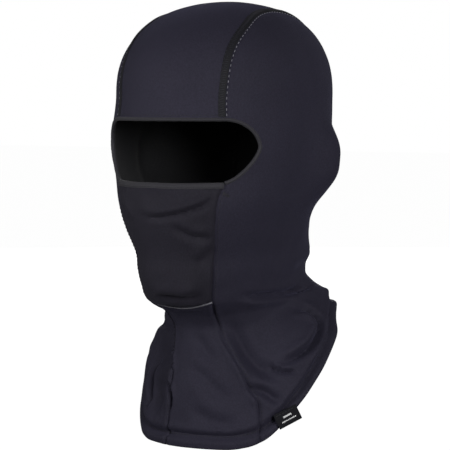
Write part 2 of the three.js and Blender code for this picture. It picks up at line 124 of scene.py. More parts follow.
# Reach of the neck skirt, from the jaw ring (0) to the hem (1) and a little past it.
PAST_HEM = 1.3
skirt_front = profile(
    (0, 94), (0.15, 88), (0.205, 82), (0.24, 71), (0.29, 57), (0.38, 50), (0.65, 58), (1, 65),
    (PAST_HEM, 70),
)
skirt_left = profile(
    (0, 54), (0.2, 51), (0.35, 52), (0.5, 60), (0.65, 70), (0.8, 77.5), (1, 82.5), (PAST_HEM, 87),
)
skirt_right = profile(
    (0, 54), (0.2, 50), (0.3, 46), (0.4, 38), (0.5, 38), (0.6, 46), (0.7, 57), (0.8, 65), (1, 69),
    (PAST_HEM, 72),
)
skirt_back = profile((0, 79), (0.2, 78), (0.4, 77), (0.6, 79), (0.8, 83), (1, 87), (PAST_HEM, 93))
hem_height = profile(
    (0, 0), (26, 0), (38, 2), (48, 7), (66, 29), (88, 59), (112, 88), (126, 95), (180, HEM_BACK_Z)
)
EAR_REACH, EAR_Y, EAR_LENGTH, EAR_Z, EAR_HEIGHT = 13, 16, 17, 211, 27.5
NOSE_REACH, NOSE_DEGREES, NOSE_Z, NOSE_HEIGHT = 9, 19, 181, 22


def section_reach(angle, front, side, back, front_power, back_power):
    """Distance from the axis to a superellipse section, at an angle from the front."""
    ahead = np.cos(angle)
    power = np.where(ahead > 0, front_power, back_power)
    along = np.abs(ahead) / np.where(ahead > 0, front, back)
    across = np.abs(np.sin(angle)) / side
    return (across**power + along**power) ** (-1 / power)


def smooth(t):
    t = np.clip(t, 0, 1)
    return t * t * (3 - 2 * t)


def axis_y(z):
    return NECK_SHIFT * (1 - smooth((z - JAW_Z) / NECK_BLEND))


def dome_shift(z):
    """How far back the dome leans at a height."""
    return CROWN_SHIFT * np.clip((z - BROW_Z) / (CROWN_Z - BROW_Z), 0, None) ** 2


def mounds_at(degrees, y, z):
    """How far the ears and the nose push the head part out."""
    beside_ear = ((y - EAR_Y) / EAR_LENGTH) ** 2 + np.abs((z - EAR_Z) / EAR_HEIGHT) ** 3
    beside_nose = (degrees / NOSE_DEGREES) ** 2 + ((z - NOSE_Z) / NOSE_HEIGHT) ** 2
    return EAR_REACH * np.exp(-beside_ear) + NOSE_REACH * np.exp(-beside_nose)


def at_place(place):
    """The point of the plain surface at each place."""
    degrees, level = place[..., 0], place[..., 1]
    angle = np.radians(degrees)
    climb = (1 - np.clip(level, 0, 1)) * np.pi / 2
    brow = section_reach(
        angle, head_front(BROW_Z), head_side(BROW_Z), head_back(BROW_Z), cheek_fullness(BROW_Z), 2
    )
    along = (np.cos(climb) / brow) ** DOME_POWER
    ray = (along + (np.sin(climb) / (CROWN_Z - BROW_Z)) ** DOME_POWER) ** (-1 / DOME_POWER)
    z_dome = BROW_Z + ray * np.sin(climb)
    z_head = BROW_Z + (JAW_Z - BROW_Z) * np.clip(level - 1, 0, 1)
    y_head = axis_y(z_head)
    head = section_reach(
        angle, head_front(z_head) + y_head, head_side(z_head), head_back(z_head) - y_head,
        cheek_fullness(z_head), nape_fullness(z_head),
    )
    head = head + mounds_at(degrees, y_head - head * np.cos(angle), z_head)
    drop = np.clip(level - 2, 0, PAST_HEM)
    z_skirt = JAW_Z + (hem_height(np.abs(degrees)) - JAW_Z) * drop
    side = np.where(degrees >= 0, skirt_left(drop), skirt_right(drop))
    skirt = section_reach(
        angle, skirt_front(drop) + NECK_SHIFT, side, skirt_back(drop) - NECK_SHIFT,
        2.0, 2.4 - 0.4 * drop,
    )
    dome, upper = level <= 1, level <= 2
    reach = np.where(dome, ray * np.cos(climb), np.where(upper, head, skirt))
    z = np.where(dome, z_dome, np.where(upper, z_head, z_skirt))
    y_axis = np.where(dome, dome_shift(z_dome), np.where(upper, y_head, NECK_SHIFT))
    return np.stack([reach * np.sin(angle), y_axis - reach * np.cos(angle), z], -1)


def axis_at(z):
    return np.where(z > BROW_Z, dome_shift(z), np.where(z > JAW_Z, axis_y(z), NECK_SHIFT))


def head_level(z):
    """The level at a height between the brow ring and the jaw ring."""
    return 1 + (BROW_Z - z) / (BROW_Z - JAW_Z)


def place_of(points):
    """The place on the hood on the ray from the head's axis through each point."""
    x, y, z = np.moveaxis(points, -1, 0)
    y = y - axis_at(z)
    degrees = np.degrees(np.arctan2(x, -y))
    climb = np.arctan2(z - BROW_Z, np.hypot(x, y))
    lower = 2 + (JAW_Z - z) / (JAW_Z - hem_height(np.abs(degrees)))
    level = np.where(z > BROW_Z, 1 - climb / (np.pi / 2), np.where(z > JAW_Z, head_level(z), lower))
    return np.stack([degrees, level], -1)


def place(degrees, level):
    return np.stack(np.broadcast_arrays(degrees, level), -1)


def mirrored(line):
    return lambda t: line(t) * np.array([-1, 1])


def mix(a, b, t):
    return a + (b - a) * t


def run_along(points):
    """The distance travelled along a line of points, at each point."""
    return np.concatenate([[0], np.cumsum(np.linalg.norm(np.diff(points, axis=0), axis=1))])


def at_run(where, run, points):
    """Points at distances along a line, given the distance travelled at each of its points."""
    return np.stack([np.interp(where, run, points[:, k]) for k in range(3)], -1)


# ---- Seam lines, each a function of 0 to 1 that gives places on the hood ----
def smooth_line(points):
    """A centripetal Catmull-Rom line through points, as a function of the share of its length."""
    p = np.array(points, float)
    p = np.vstack([2 * p[0] - p[1], p, 2 * p[-1] - p[-2]])
    knots = np.sqrt(np.linalg.norm(np.diff(p, axis=0), axis=1))[:, None]
    t = np.linspace(0, 1, 40, endpoint=False)[:, None]
    pieces = []
    for i in range(1, len(p) - 2):
        before, here, after = knots[i - 1], knots[i], knots[i + 1]
        chord = p[i + 1] - p[i]
        leave = (p[i] - p[i - 1]) / before - (p[i + 1] - p[i - 1]) / (before + here) + chord / here
        arrive = chord / here - (p[i + 2] - p[i]) / (here + after) + (p[i + 2] - p[i + 1]) / after
        cubic = p[i] * (1 + 2 * t) * (1 - t) ** 2 + p[i + 1] * t * t * (3 - 2 * t)
        pieces.append(cubic + here * (leave * t * (1 - t) ** 2 - arrive * t * t * (1 - t)))
    dense = np.vstack(pieces + [p[-2:-1]])
    run = run_along(dense)
    return lambda share: at_run(share, run / run[-1], dense)


def seam_line(points):
    """Places along a smooth line through points near the surface."""
    line = smooth_line(points)
    return lambda t: place_of(line(t))


def seam_to_hem(points):
    """The same, with its last place brought exactly onto the hem."""
    line = seam_line(points)
    short = 3 - line(1.0)[1]
    return lambda t: line(t) + place(0, short * t**2)


left_crown_seam = seam_to_hem([
    (46, -79, OPENING_TOP_Z), (45, -77, 261), (45.5, -68, 290), (45, -45, 309), (42, -16, 321),
    (41, 30, 318), (41, 78, 288), (38, 84, 225), (30, 62, 172), (33, 68, 140), (38, 80, HEM_BACK_Z),
])
left_mask_seam = seam_line([
    (46, -78, OPENING_BOTTOM_Z), (42, -82, 186), (39, -81, 168), (35, -75, 150), (32, -72, 131),
    (28, -67, 109),
])
chin_seam = seam_line([
    (28, -67, 109), (16, -69, 105), (0, -69, 103), (-16, -69, 105), (-28, -67, 109),
])
left_neck_seam = seam_to_hem([
    (28, -67, 109), (21, -51, 96), (24, -44, 79), (34, -44, 64), (46, -44, 44), (52, -42, 33),
    (56, -45, 4.5),
])
right_neck_seam = seam_to_hem([
    (-28, -67, 109), (-20, -49, 94), (-18, -47, 67), (-14, -55, 50), (-13, -60, 30), (-15, -63, 0),
])
right_crown_seam = mirrored(left_crown_seam)
right_mask_seam = mirrored(left_mask_seam)


def opening_end(t):
    """The rounded end of the eye opening, from its top corner (0) to its bottom corner (1)."""
    turn = t * np.pi
    upper = turn < np.pi / 2
    power = np.where(upper, OPENING_UPPER_POWER, OPENING_LOWER_POWER)
    height = np.where(upper, OPENING_TOP_Z - OPENING_WIDEST_Z, OPENING_WIDEST_Z - OPENING_BOTTOM_Z)
    out = np.abs(np.sin(turn)) ** (2 / power)
    rise = np.sign(np.cos(turn)) * np.abs(np.cos(turn)) ** (2 / power)
    return place(OPENING_STRAIGHT + OPENING_END * out, head_level(OPENING_WIDEST_Z + height * rise))


# ---- Grids of places, one for each fabric panel, sharing their border points ----
# Counts of cells along each stretch of border.
DOME_ROWS, SIDE_COLUMNS, CENTRE_COLUMNS = 32, 120, 56
OPENING_ROWS, MASK_ROWS, NECK_ROWS, CHIN_COLUMNS = 30, 52, 64, 52
# Shares of a crown seam at the corners of the grid that covers the top of a side panel.
DOME_FRONT, DOME_BACK = 0.15, 0.55


def steps(count, start=0.0, end=1.0):
    return np.linspace(start, end, count + 1)


def crowded(count):
    """Shares from 0 to 1 that lie closer together near both ends, where the seams are."""
    even = steps(count)
    return even - 0.5 * np.sin(2 * np.pi * even) / (2 * np.pi)


def coons(top, bottom, start, end):
    """A grid of places between four border rows; top and bottom run in u, start and end in v."""
    v = steps(len(start) - 1)[:, None, None]
    u = crowded(len(top) - 1)[None, :, None]
    across = mix(top[None], bottom[None], v)
    along = mix(start[:, None], end[:, None], u)
    corners = mix(mix(top[0], top[-1], u), mix(bottom[0], bottom[-1], u), v)
    return across + along - corners


def side_grid(crown_seam, end, mask_seam, neck_seam):
    """Places of a side panel, from its front border (first column) to the crown seam at the back."""
    front = np.vstack([
        end(steps(OPENING_ROWS)), mask_seam(steps(MASK_ROWS))[1:], neck_seam(steps(NECK_ROWS))[1:],
    ])
    descent = steps(1999, DOME_BACK, 1)
    shares = np.interp(front[:, 1], crown_seam(descent)[:, 1], descent)
    back = crown_seam(shares)
    u = crowded(SIDE_COLUMNS)
    lower = mix(front[:, None], back[:, None], u[None, :, None])
    lower[..., 1] = front[:, 1:2]
    dome = coons(
        crown_seam(mix(DOME_FRONT, DOME_BACK, u)),
        lower[0],
        crown_seam(steps(DOME_ROWS, DOME_FRONT, 0)),
        crown_seam(steps(DOME_ROWS, DOME_BACK, shares[0])),
    )
    return np.concatenate([dome[:-1], lower]), shares


def centre_grid(left_shares, right_shares):
    """Places of the centre panel, front to back, its rows meeting the side panels' border points."""
    def border(seam, shares):
        rows = [
            steps(DOME_ROWS, 0, DOME_FRONT)[:-1],
            mix(DOME_FRONT, DOME_BACK, crowded(SIDE_COLUMNS)[:-1]),
            steps(DOME_ROWS, DOME_BACK, shares[0])[:-1],
            shares,
        ]
        return at_place(seam(np.concatenate(rows)))[:, None]

    left = border(left_crown_seam, left_shares)
    right = border(right_crown_seam, right_shares)
    return place_of(mix(left, right, crowded(CENTRE_COLUMNS)[None, :, None]))


def mask_grid():
    left = np.vstack([opening_end(1.0), left_mask_seam(steps(MASK_ROWS))[1:]])
    right = left * [-1, 1]
    u = crowded(CHIN_COLUMNS)
    return coons(mix(right[0], left[0], u[:, None]), chin_seam(1 - u), right, left)


def neck_grid():
    left, right = left_neck_seam(steps(NECK_ROWS)), right_neck_seam(steps(NECK_ROWS))
    u = crowded(CHIN_COLUMNS)
    return coons(chin_seam(1 - u), mix(right[-1], left[-1], u[:, None]), right, left)


def on_hood(points):
    return at_place(place_of(points))


def unit(vectors):
    return vectors / np.maximum(np.linalg.norm(vectors, axis=-1, keepdims=True), 1e-9)


def normals_at(points):
    """Unit outward normals of the plain surface at points on it, from two small steps along it."""
    x, y, z = np.moveaxis(points, -1, 0)
    radial = unit(np.stack([x, y - axis_at(z), np.maximum(z - BROW_Z, 0)], -1))
    helper = np.where(np.abs(radial[..., 2:]) > 0.7, [0, 1, 0], [0, 0, 1])
    across = unit(np.cross(helper, radial))
    up = np.cross(radial, across)
    step = 0.05
    along = on_hood(points + across * step) - on_hood(points - across * step)
    climb = on_hood(points + up * step) - on_hood(points - up * step)
    return unit(np.cross(along, climb))


# ---- Relief of the cloth: how far each point stands off the plain surface ----
def beside_fold(line, points, reach, count=60):
    """The points within reach of a fold: which, their share along it, how far aside and past it."""
    samples = on_hood(smooth_line(line)(steps(count)))
    ahead = unit(np.gradient(samples, axis=0))
    right = unit(np.cross(ahead, normals_at(samples)))
    low, high = samples.min(0) - reach, samples.max(0) + reach
    near = np.flatnonzero(((points > low) & (points < high)).all(1))
    gaps = points[near][:, None] - samples[None]
    nearest = np.argmin((gaps**2).sum(-1), 1)
    gap = gaps[np.arange(len(near)), nearest]
    aside, past = ((gap * direction[nearest]).sum(-1) for direction in (right, ahead))
    close = np.linalg.norm(gap, axis=1) < reach
    return near[close], (nearest / count)[close], aside[close], past[close]


def bell(x):
    return np.exp(-x * x)


def crease(height, points, line, depth, width, right, left):
    """Presses a valley along a line, with rolls of cloth on its right and on its left."""
    near, share, aside, past = beside_fold(line, points, 7 * width)
    ends = smooth(share / FOLD_TAPER) * smooth((1 - share) / FOLD_TAPER) * bell(past / width)
    valley = -depth * bell(aside / width)
    roll_width = 1.5 * width
    rolls = right * bell(aside / roll_width - 1.4) + left * bell(aside / roll_width + 1.4)
    height[near] += ends * (valley + rolls)


def swell(height, points, centre, radius, rise):
    """A soft mound, or a hollow if rise is negative."""
    middle = on_hood(np.array(centre, float))
    height += rise * bell(np.linalg.norm(points - middle, axis=1) / radius)


# Folds as (line, depth, width, right roll, left roll); a line is a few points near the surface.
FOLDS = [
    # Face mask: under the nose, at the corner of the mouth, beside the chin and above the chin seam.
    ([(-12, -105, 173), (8, -105, 173), (24, -98, 177), (36, -88, 183), (42, -83, 191)],
     3.0, 2.1, 0.2, 2.2),
    ([(14, -102, 170), (19, -98, 163), (27, -91, 158), (37, -80, 158)], 2.8, 2.8, 0.3, 1.6),
    ([(24, -84, 138), (29, -80, 143), (35, -76, 152)], 1.5, 3.2, 0.0, 1.2),
    ([(-14, -88, 112), (-1, -88, 112), (16, -83, 112), (27, -74, 116)], 3.4, 3.8, 0.0, 2.2),
    ([(-40, -92, 182), (-30, -98, 174), (-20, -101, 166)], 1.8, 3.0, 0.0, 1.2),
    # The wearer's left: under the jaw, round the pouch of the skirt, and down beside the neck seam.
    ([(37, -52, 112), (43, -43, 112), (48, -20, 111), (52, 9, 111), (56, 43, 115)],
     6.0, 2.3, 2.8, 0.3),
    ([(64, -2, 98), (72, 14, 97), (77, 16, 87), (77, 3, 75), (71, -12, 66), (58, -27, 60)],
     6.8, 2.6, 3.2, 1.6),
    ([(60, -31, 64), (59, -29, 59), (65, -25, 55), (73, -16, 56)], 4.2, 1.6, 0.4, 1.8),
    ([(28, -41, 94), (34, -38, 80), (41, -37, 69), (49, -35, 60), (58, -31, 55), (67, -26, 53)],
     6.0, 5.6, 2.6, 0.6),
    ([(43, -47, 46), (50, -42, 43), (57, -38, 41), (64, -35, 36), (70, -30, 34)], 5.0, 3.2, 1.8, 0.8),
    # The wearer's right: the edge of the folded skirt, the slit behind it, and softer folds.
    ([(-46, -15, 66), (-26, -40, 63), (-17, -50, 59), (-21, -49, 52), (-22, -51, 48), (-16, -55, 42),
      (-12, -58, 36), (-12, -60, 28), (-15, -60, 23), (-21, -58, 18)], 5.0, 1.7, 0.0, 1.8),
    ([(-44, -22, 58), (-48, -30, 46), (-44, -40, 35), (-43, -43, 29), (-47, -41, 20)],
     6.5, 2.2, 1.0, 1.4),
    ([(-42, -43, 116), (-47, -20, 113), (-50, 9, 111), (-54, 43, 115)], 2.8, 2.6, 0.2, 1.6),
    ([(-38, -28, 92), (-44, -10, 84), (-52, 14, 80), (-62, 38, 86)], 2.2, 3.6, 1.0, 1.0),
    ([(-56, -10, 56), (-62, 2, 56), (-68, 18, 64)], 1.6, 3.0, 0.6, 0.8),
    # Nape.
    ([(44, 68, 114), (26, 78, 112), (2, 84, 113), (-24, 80, 116), (-46, 66, 117)], 1.9, 3.0, 1.0, 0.6),
    ([(66, 40, 104), (60, 62, 101), (44, 78, 103)], 1.8, 3.0, 1.0, 0.4),
    # Front neck panel.
    ([(4, -50, 86), (8, -49, 76), (15, -50, 67), (24, -50, 60)], 1.9, 4.0, 0.4, 0.9),
    ([(-4, -57, 55), (10, -57, 54), (24, -55, 42), (38, -51, 33)], 2.2, 5.0, 0.6, 1.0),
    ([(4, -61, 30), (16, -60, 23), (30, -57, 18), (44, -52, 20)], 2.0, 4.6, 0.4, 1.0),
]
# Soft mounds and hollows as (centre, radius, rise).
SWELLS = [
    ((-2, -106, 186), 10, 2.2), ((16, -85, 121), 9, 2.0), ((-16, -86, 122), 10, 1.2),
    ((64, -4, 82), 15, 3.0), ((42, -38, 82), 9, 1.0), ((76, 30, 78), 12, 2.0),
    ((72, -24, 44), 13, 2.0), ((56, 50, 104), 12, 1.4), ((36, -46, 60), 5, 1.6),
    ((-54, 24, 98), 16, 1.6), ((8, -56, 42), 14, 1.8), ((78, 8, 58), 14, 1.8),
    ((-34, -38, 66), 12, -5.5), ((-33, -44, 47), 12, -8.0), ((-31, -50, 29), 10, -7.0),
]
FOLD_TAPER = 0.3  # share of a fold's length over which it fades out at each end
# The knit is taut above this height and hangs freer over the next stretch below it.
TAUT_ABOVE_Z, LOOSENING = 175, 70
# Half widths of the groove along a seam and of the ridge beside it, and how far off the ridge lies.
SEAM_GROOVE, SEAM_RIDGE, SEAM_RIDGE_ASIDE = 1.05, 1.6, 3.0
# The same along the hem's stitches, which pull in a deeper groove.
HEM_GROOVE, HEM_RIDGE_ASIDE = 2.2, 5.0
HEM_GROOVE_DEPTH, HEM_RIDGE_RISE = 3.8, 1.0


def ripple(points, length, seed):
    """A gentle unevenness of about plus or minus one, with waves of roughly the given length."""
    random = np.random.default_rng(seed)
    total = np.zeros(len(points))
    for _ in range(7):
        direction = unit(random.normal(size=3)) * 2 * np.pi / (length * random.uniform(0.7, 1.5))
        total += np.sin(points @ direction + random.uniform(0, 2 * np.pi))
    return total / 3


def above_hem(degrees, height):
    """Points of the plain surface a few millimetres above the hem."""
    return at_place(place(degrees, 3 - height / (JAW_Z - hem_height(np.abs(degrees)))))


def tree_of(points):
    tree = KDTree(len(points))
    for i, point in enumerate(points):
        tree.insert(point, i)
    tree.balance()
    return tree


def distance_to(tree, points):
    return np.array([tree.find(point)[2] for point in points])


SEAMS = [
    left_crown_seam, right_crown_seam, left_mask_seam, right_mask_seam, chin_seam,
    left_neck_seam, right_neck_seam,
]
SEWN = tree_of(np.vstack([at_place(seam(steps(700))) for seam in SEAMS]))
HEM_STITCHING = tree_of(above_hem(steps(1400, -180, 180), HEM_HEIGHT))


def relief(points):
    """Millimetres by which each point of the outer face stands off the plain surface."""
    height = np.zeros(len(points))
    for line, *shape in FOLDS:
        crease(height, points, line, *shape)
    for centre, radius, rise in SWELLS:
        swell(height, points, centre, radius, rise)
    loose = smooth((TAUT_ABOVE_Z - points[:, 2]) / LOOSENING)
    height += ripple(points, 34, 3) * mix(0.12, 0.55, loose)
    height += ripple(points, 15, 4) * mix(0.04, 0.16, loose)
    from_seam, from_hem_line = distance_to(SEWN, points), distance_to(HEM_STITCHING, points)
    height += mix(0.25, 0.6, loose) * bell((from_seam - SEAM_RIDGE_ASIDE) / SEAM_RIDGE)
    height -= mix(0.75, 1.2, loose) * bell(from_seam / SEAM_GROOVE)
    height += HEM_RIDGE_RISE * bell((from_hem_line - HEM_RIDGE_ASIDE) / HEM_GROOVE)
    height -= HEM_GROOVE_DEPTH * bell(from_hem_line / HEM_GROOVE)
    return height


def inner_relief(height):
    """The gentler relief of a panel's inner face, at least half the fabric behind the outer one."""
    return np.minimum(0.8 * height, height + FABRIC / 2)


# ---- Meshes ----
def grid_faces(rows, columns, start=0, ring=False, closed=False):
    """Quads of a grid of points; in a ring each row meets its own end, and closed joins the rows."""
    count = columns if ring else columns + 1
    row, column = np.mgrid[0:rows, 0:columns]
    following = (row + 1) % rows if closed else row + 1
    beside_it = (column + 1) % count
    corners = [(row, column), (following, column), (following, beside_it), (row, beside_it)]
    return np.stack([a * count + b for a, b in corners], -1).reshape(-1, 4) + start


def shell(outer, inner):
    """Vertices and faces of a closed sheet between two grids of points."""
    rows, columns = outer.shape[0] - 1, outer.shape[1] - 1
    count, size = columns + 1, outer.shape[0] * outer.shape[1]
    faces = [grid_faces(rows, columns), grid_faces(rows, columns, size)[:, ::-1]]

    def rim(path):
        a, b = path[:-1], path[1:]
        faces.append(np.stack([a, b, b + size, a + size], -1))

    top = np.arange(columns + 1)
    side = np.arange(rows + 1) * count
    rim(top)
    rim(top[::-1] + rows * count)
    rim(side[::-1])
    rim(side + columns)
    return np.vstack([outer.reshape(-1, 3), inner.reshape(-1, 3)]), np.vstack(faces).tolist()


def strip_uv(points):
    """Millimetres across a long strip (from its middle) and down its length."""
    def run(axis):
        gaps = np.linalg.norm(np.diff(points, axis=axis), axis=-1)
        start = np.zeros_like(np.take(gaps, [0], axis))
        return np.concatenate([start, np.cumsum(gaps, axis)], axis)

    across, down = run(1), run(0)
    middle = points.shape[1] // 2
    down = np.broadcast_to(down[:, middle:middle + 1], across.shape)
    return np.stack([across - across[:, middle:middle + 1], -down], -1)


def wrapped_uv(places):
    """Millimetres round the hood and down it, for cloth that wraps round the head."""
    degrees, level = places[..., 0], places[..., 1]
    skirt = np.clip(level - 2, 0, None) * (JAW_Z - hem_height(np.abs(degrees)))
    head = np.clip(level, None, 2) * (BROW_Z - JAW_Z)
    return np.stack([MM_PER_DEGREE * degrees, -head - skirt], -1)


def tube(points, normals, section, scale=1.0):
    """A closed section of (aside, outward) pairs swept along points; the normals point outward."""
    ahead = unit(np.gradient(points, axis=0))
    right = unit(np.cross(ahead, normals))
    up = np.cross(right, ahead)
    aside, outward = np.array(section).T[..., None]
    size = np.broadcast_to(scale, len(points))[:, None, None]
    rings = points[:, None] + size * (aside * right[:, None] + outward * up[:, None])
    count, last = len(section), len(points) - 1
    faces = grid_faces(last, count, ring=True).tolist()
    faces.append(list(range(count)))
    faces.append(list(range(last * count, (last + 1) * count))[::-1])
    return rings.reshape(-1, 3), faces


def round_section(radius, sides=8):
    turn = np.linspace(0, 2 * np.pi, sides, endpoint=False)
    return radius * np.stack([np.cos(turn), np.sin(turn)], -1)


def joined(parts):
    """One mesh's vertices, faces and material indices, from (vertices, faces, index) parts."""
    vertices, faces, indices, start = [], [], [], 0
    for part_vertices, part_faces, index in parts:
        vertices.append(part_vertices)
        faces += [[v + start for v in face] for face in part_faces]
        indices += [index] * len(part_faces)
        start += len(part_vertices)
    return np.vstack(vertices), faces, indices


def new_object(name, data):
    obj = bpy.data.objects.new(name, data)
    bpy.context.scene.collection.objects.link(obj)
    return obj


def make(name, vertices, faces, indices, materials, body, slot, *nodes, uv=None, sharp=55):
    """A smooth-shaded piece, its faces turned outwards, that rides a body in place of CAD nodes."""
    mesh = bpy.data.meshes.new(name)
    mesh.from_pydata(to_row(vertices).tolist(), [], faces)
    for material in materials:
        mesh.materials.append(material)
    mesh.polygons.foreach_set("material_index", indices)
    solid = bmesh.new()
    solid.from_mesh(mesh)
    bmesh.ops.recalc_face_normals(solid, faces=solid.faces)
    solid.to_mesh(mesh)
    solid.free()
    if uv is not None:
        corners = np.zeros(len(mesh.loops), int)
        mesh.loops.foreach_get("vertex_index", corners)
        layer = mesh.uv_layers.new(name="cloth")
        layer.data.foreach_set("uv", uv[corners].astype(np.float32).ravel())
    mesh.polygons.foreach_set("use_smooth", [True] * len(mesh.polygons))
    mesh.set_sharp_from_angle(angle=math.radians(sharp))
    obj = new_object(name, mesh)
    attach(obj, body)
    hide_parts(*nodes)


def build(name, parts, *where, **looks):
    """One piece from (vertices, faces, material index) parts."""
    make(name, *joined(parts), *where, **looks)


# ---- Materials ----
class Nodes:
    """A few short names for building a node tree."""

    def __init__(self, tree):
        self.tree = tree

    def link(self, value, socket):
        if isinstance(value, bpy.types.NodeSocket):
            self.tree.links.new(value, socket)
        else:
            socket.default_value = value

    def set(self, node, **values):
        """Sets a node's properties and inputs by name."""
        for name, value in values.items():
            if hasattr(node, name):
                setattr(node, name, value)
            else:
                self.link(value, node.inputs[name.replace("_", " ")])

    def add(self, kind, *values, output=0, inputs=range(8), **named):
        """A new node's output, with its inputs set in order, and its properties and inputs by name."""
        node = self.tree.nodes.new(kind)
        self.set(node, **named)
        for i, value in zip(inputs, values):
            self.link(value, node.inputs[i])
        return node.outputs[output]

    def math(self, operation, *values):
        return self.add("ShaderNodeMath", *values, operation=operation)

    def stretch(self, value, low, high, to_low, to_high):
        return self.add("ShaderNodeMapRange", value, low, high, to_low, to_high)

    def blend(self, *values):
        """The colour that lies a given share of the way from a first colour to a second."""
        return self.add("ShaderNodeMix", *values, output=2, inputs=(0, 6, 7), data_type="RGBA")

    def noise(self, scale, detail=3.0):
        in_space = self.add("ShaderNodeTexCoord", output=3)
        return self.add("ShaderNodeTexNoise", Vector=in_space, Scale=scale, Detail=detail)


def new_material(name):
    """An empty material, its node tree and its main shader."""
    material = bpy.data.materials.new(name)
    material.use_nodes = True
    n = Nodes(material.node_tree)
    return material, n, n.tree.nodes["Principled BSDF"]


def srgb(red, green, blue):
    """A linear colour from the 0 to 255 values it shows as."""
    values = [c / 255 for c in (red, green, blue)]
    return [v / 12.92 if v <= 0.04045 else ((v + 0.055) / 1.055) ** 2.4 for v in values] + [1.0]


def shades(color, low, high):
    """A darker and a brighter version of a colour."""
    return [[c * factor for c in color[:3]] + [1] for factor in (low, high)]


def knit(
    name, color, wale=0.95, course=0.8, relief_depth=0.16, sheen=0.35, tint=(0.62, 0.6, 1.0)
):
    """Fine weft knit: columns of V-shaped stitches drawn in the cloth's own millimetres, with painted
    shade in the hollows between them and a painted highlight on their loops.
    """
    material, n, shader = new_material(name)
    cloth = n.add("ShaderNodeSeparateXYZ", n.add("ShaderNodeUVMap")).node
    column = n.math("DIVIDE", cloth.outputs[0], wale)
    leg = n.math("PINGPONG", column, 0.5)
    row = n.math("ADD", n.math("DIVIDE", cloth.outputs[1], course), n.math("MULTIPLY", leg, 1.3))
    loops = n.math("SINE", n.math("MULTIPLY", row, 2 * math.pi))
    gutter = n.math("COSINE", n.math("MULTIPLY", column, 2 * math.pi))
    stitches = n.math("ADD", n.math("MULTIPLY", loops, 0.35), n.math("MULTIPLY", gutter, -0.5))
    surface = n.math("ADD", stitches, n.math("MULTIPLY", n.noise(2600), 0.8))
    bump = n.add("ShaderNodeBump", Height=surface, Strength=0.4, Distance=relief_depth * MM)
    patches = n.stretch(n.noise(14), 0.3, 0.7, 0.88, 1.1)
    melange = n.stretch(n.noise(900, 2.0), 0.3, 0.7, 0.86, 1.16)
    # Painted shade and highlight: the colour darkens where the stitches sink and brightens where they
    # rise; patches and melange add random tone.
    painted_stitch_shade = n.stretch(stitches, -0.8, 0.8, 0.95, 1.06)
    tone_and_painted_shade = n.math("MULTIPLY", n.math("MULTIPLY", patches, melange), painted_stitch_shade)
    base = n.blend(n.math("SUBTRACT", tone_and_painted_shade, 0.5), *shades(color, 0.5, 1.5))
    n.set(
        shader, Base_Color=base, Roughness=0.72, Specular_IOR_Level=0.16, Sheen_Weight=sheen,
        Sheen_Roughness=0.45, Sheen_Tint=[*tint, 1], Normal=bump,
    )
    return material


def plain_cloth(name, color, roughness=0.7, sheen=0.3, specular=0.25):
    """Cloth or thread too narrow to show its stitches: a fine irregular grain."""
    material, n, shader = new_material(name)
    grain = n.noise(1800)
    bump = n.add("ShaderNodeBump", Height=grain, Strength=0.5, Distance=0.08 * MM)
    base = n.blend(n.stretch(grain, 0.3, 0.7, 0, 1), *shades(color, 0.75, 1.25))
    n.set(
        shader, Base_Color=base, Roughness=roughness, Sheen_Weight=sheen, Sheen_Roughness=0.4,
        Specular_IOR_Level=specular, Normal=bump,
    )
    return material


KNIT = knit("outer_knit", srgb(46, 44, 57), sheen=0.07)
MASK_KNIT = knit("mask_knit", srgb(39, 37, 46), wale=0.8, course=0.7, sheen=0.06, tint=(0.8, 0.78, 1.0))
# The inner face's light grey is painted light: it brightens the hood's dim inside as seen through the
# eye opening.
INSIDE_PAINTED_LIGHT = knit("knit_inside_painted_light", srgb(44, 44, 46), sheen=0.04, tint=(1, 1, 1))
LINING = knit("lining_mesh", srgb(30, 30, 34), wale=1.4, course=1.3, relief_depth=0.3, sheen=0.1)
EDGING = plain_cloth("edging", srgb(53, 52, 57), sheen=0.1)
PIPING = plain_cloth("piping", srgb(136, 135, 144), sheen=0.3)
ELASTIC = plain_cloth("elastic", srgb(30, 30, 33))
# The flatlock tape is real, but its colour is set darker than the knit to stand in for the shade of the
# groove along the crown seam: partly painted shade.
SEAM_TAPE_AND_SHADE = plain_cloth("seam_tape", srgb(27, 27, 32), sheen=0.05)
THREAD = plain_cloth("thread", srgb(150, 149, 160), roughness=0.5, sheen=0.2)
DARK_THREAD = plain_cloth("dark_thread", srgb(38, 37, 45), roughness=0.6, sheen=0.1)
WOVEN = plain_cloth("woven_label", srgb(24, 24, 29), roughness=0.75, sheen=0.02, specular=0.15)
MARK = plain_cloth("woven_mark", srgb(215, 215, 215), roughness=0.5)
SATIN = plain_cloth("satin_label", srgb(214, 214, 208), roughness=0.35, specular=0.5)

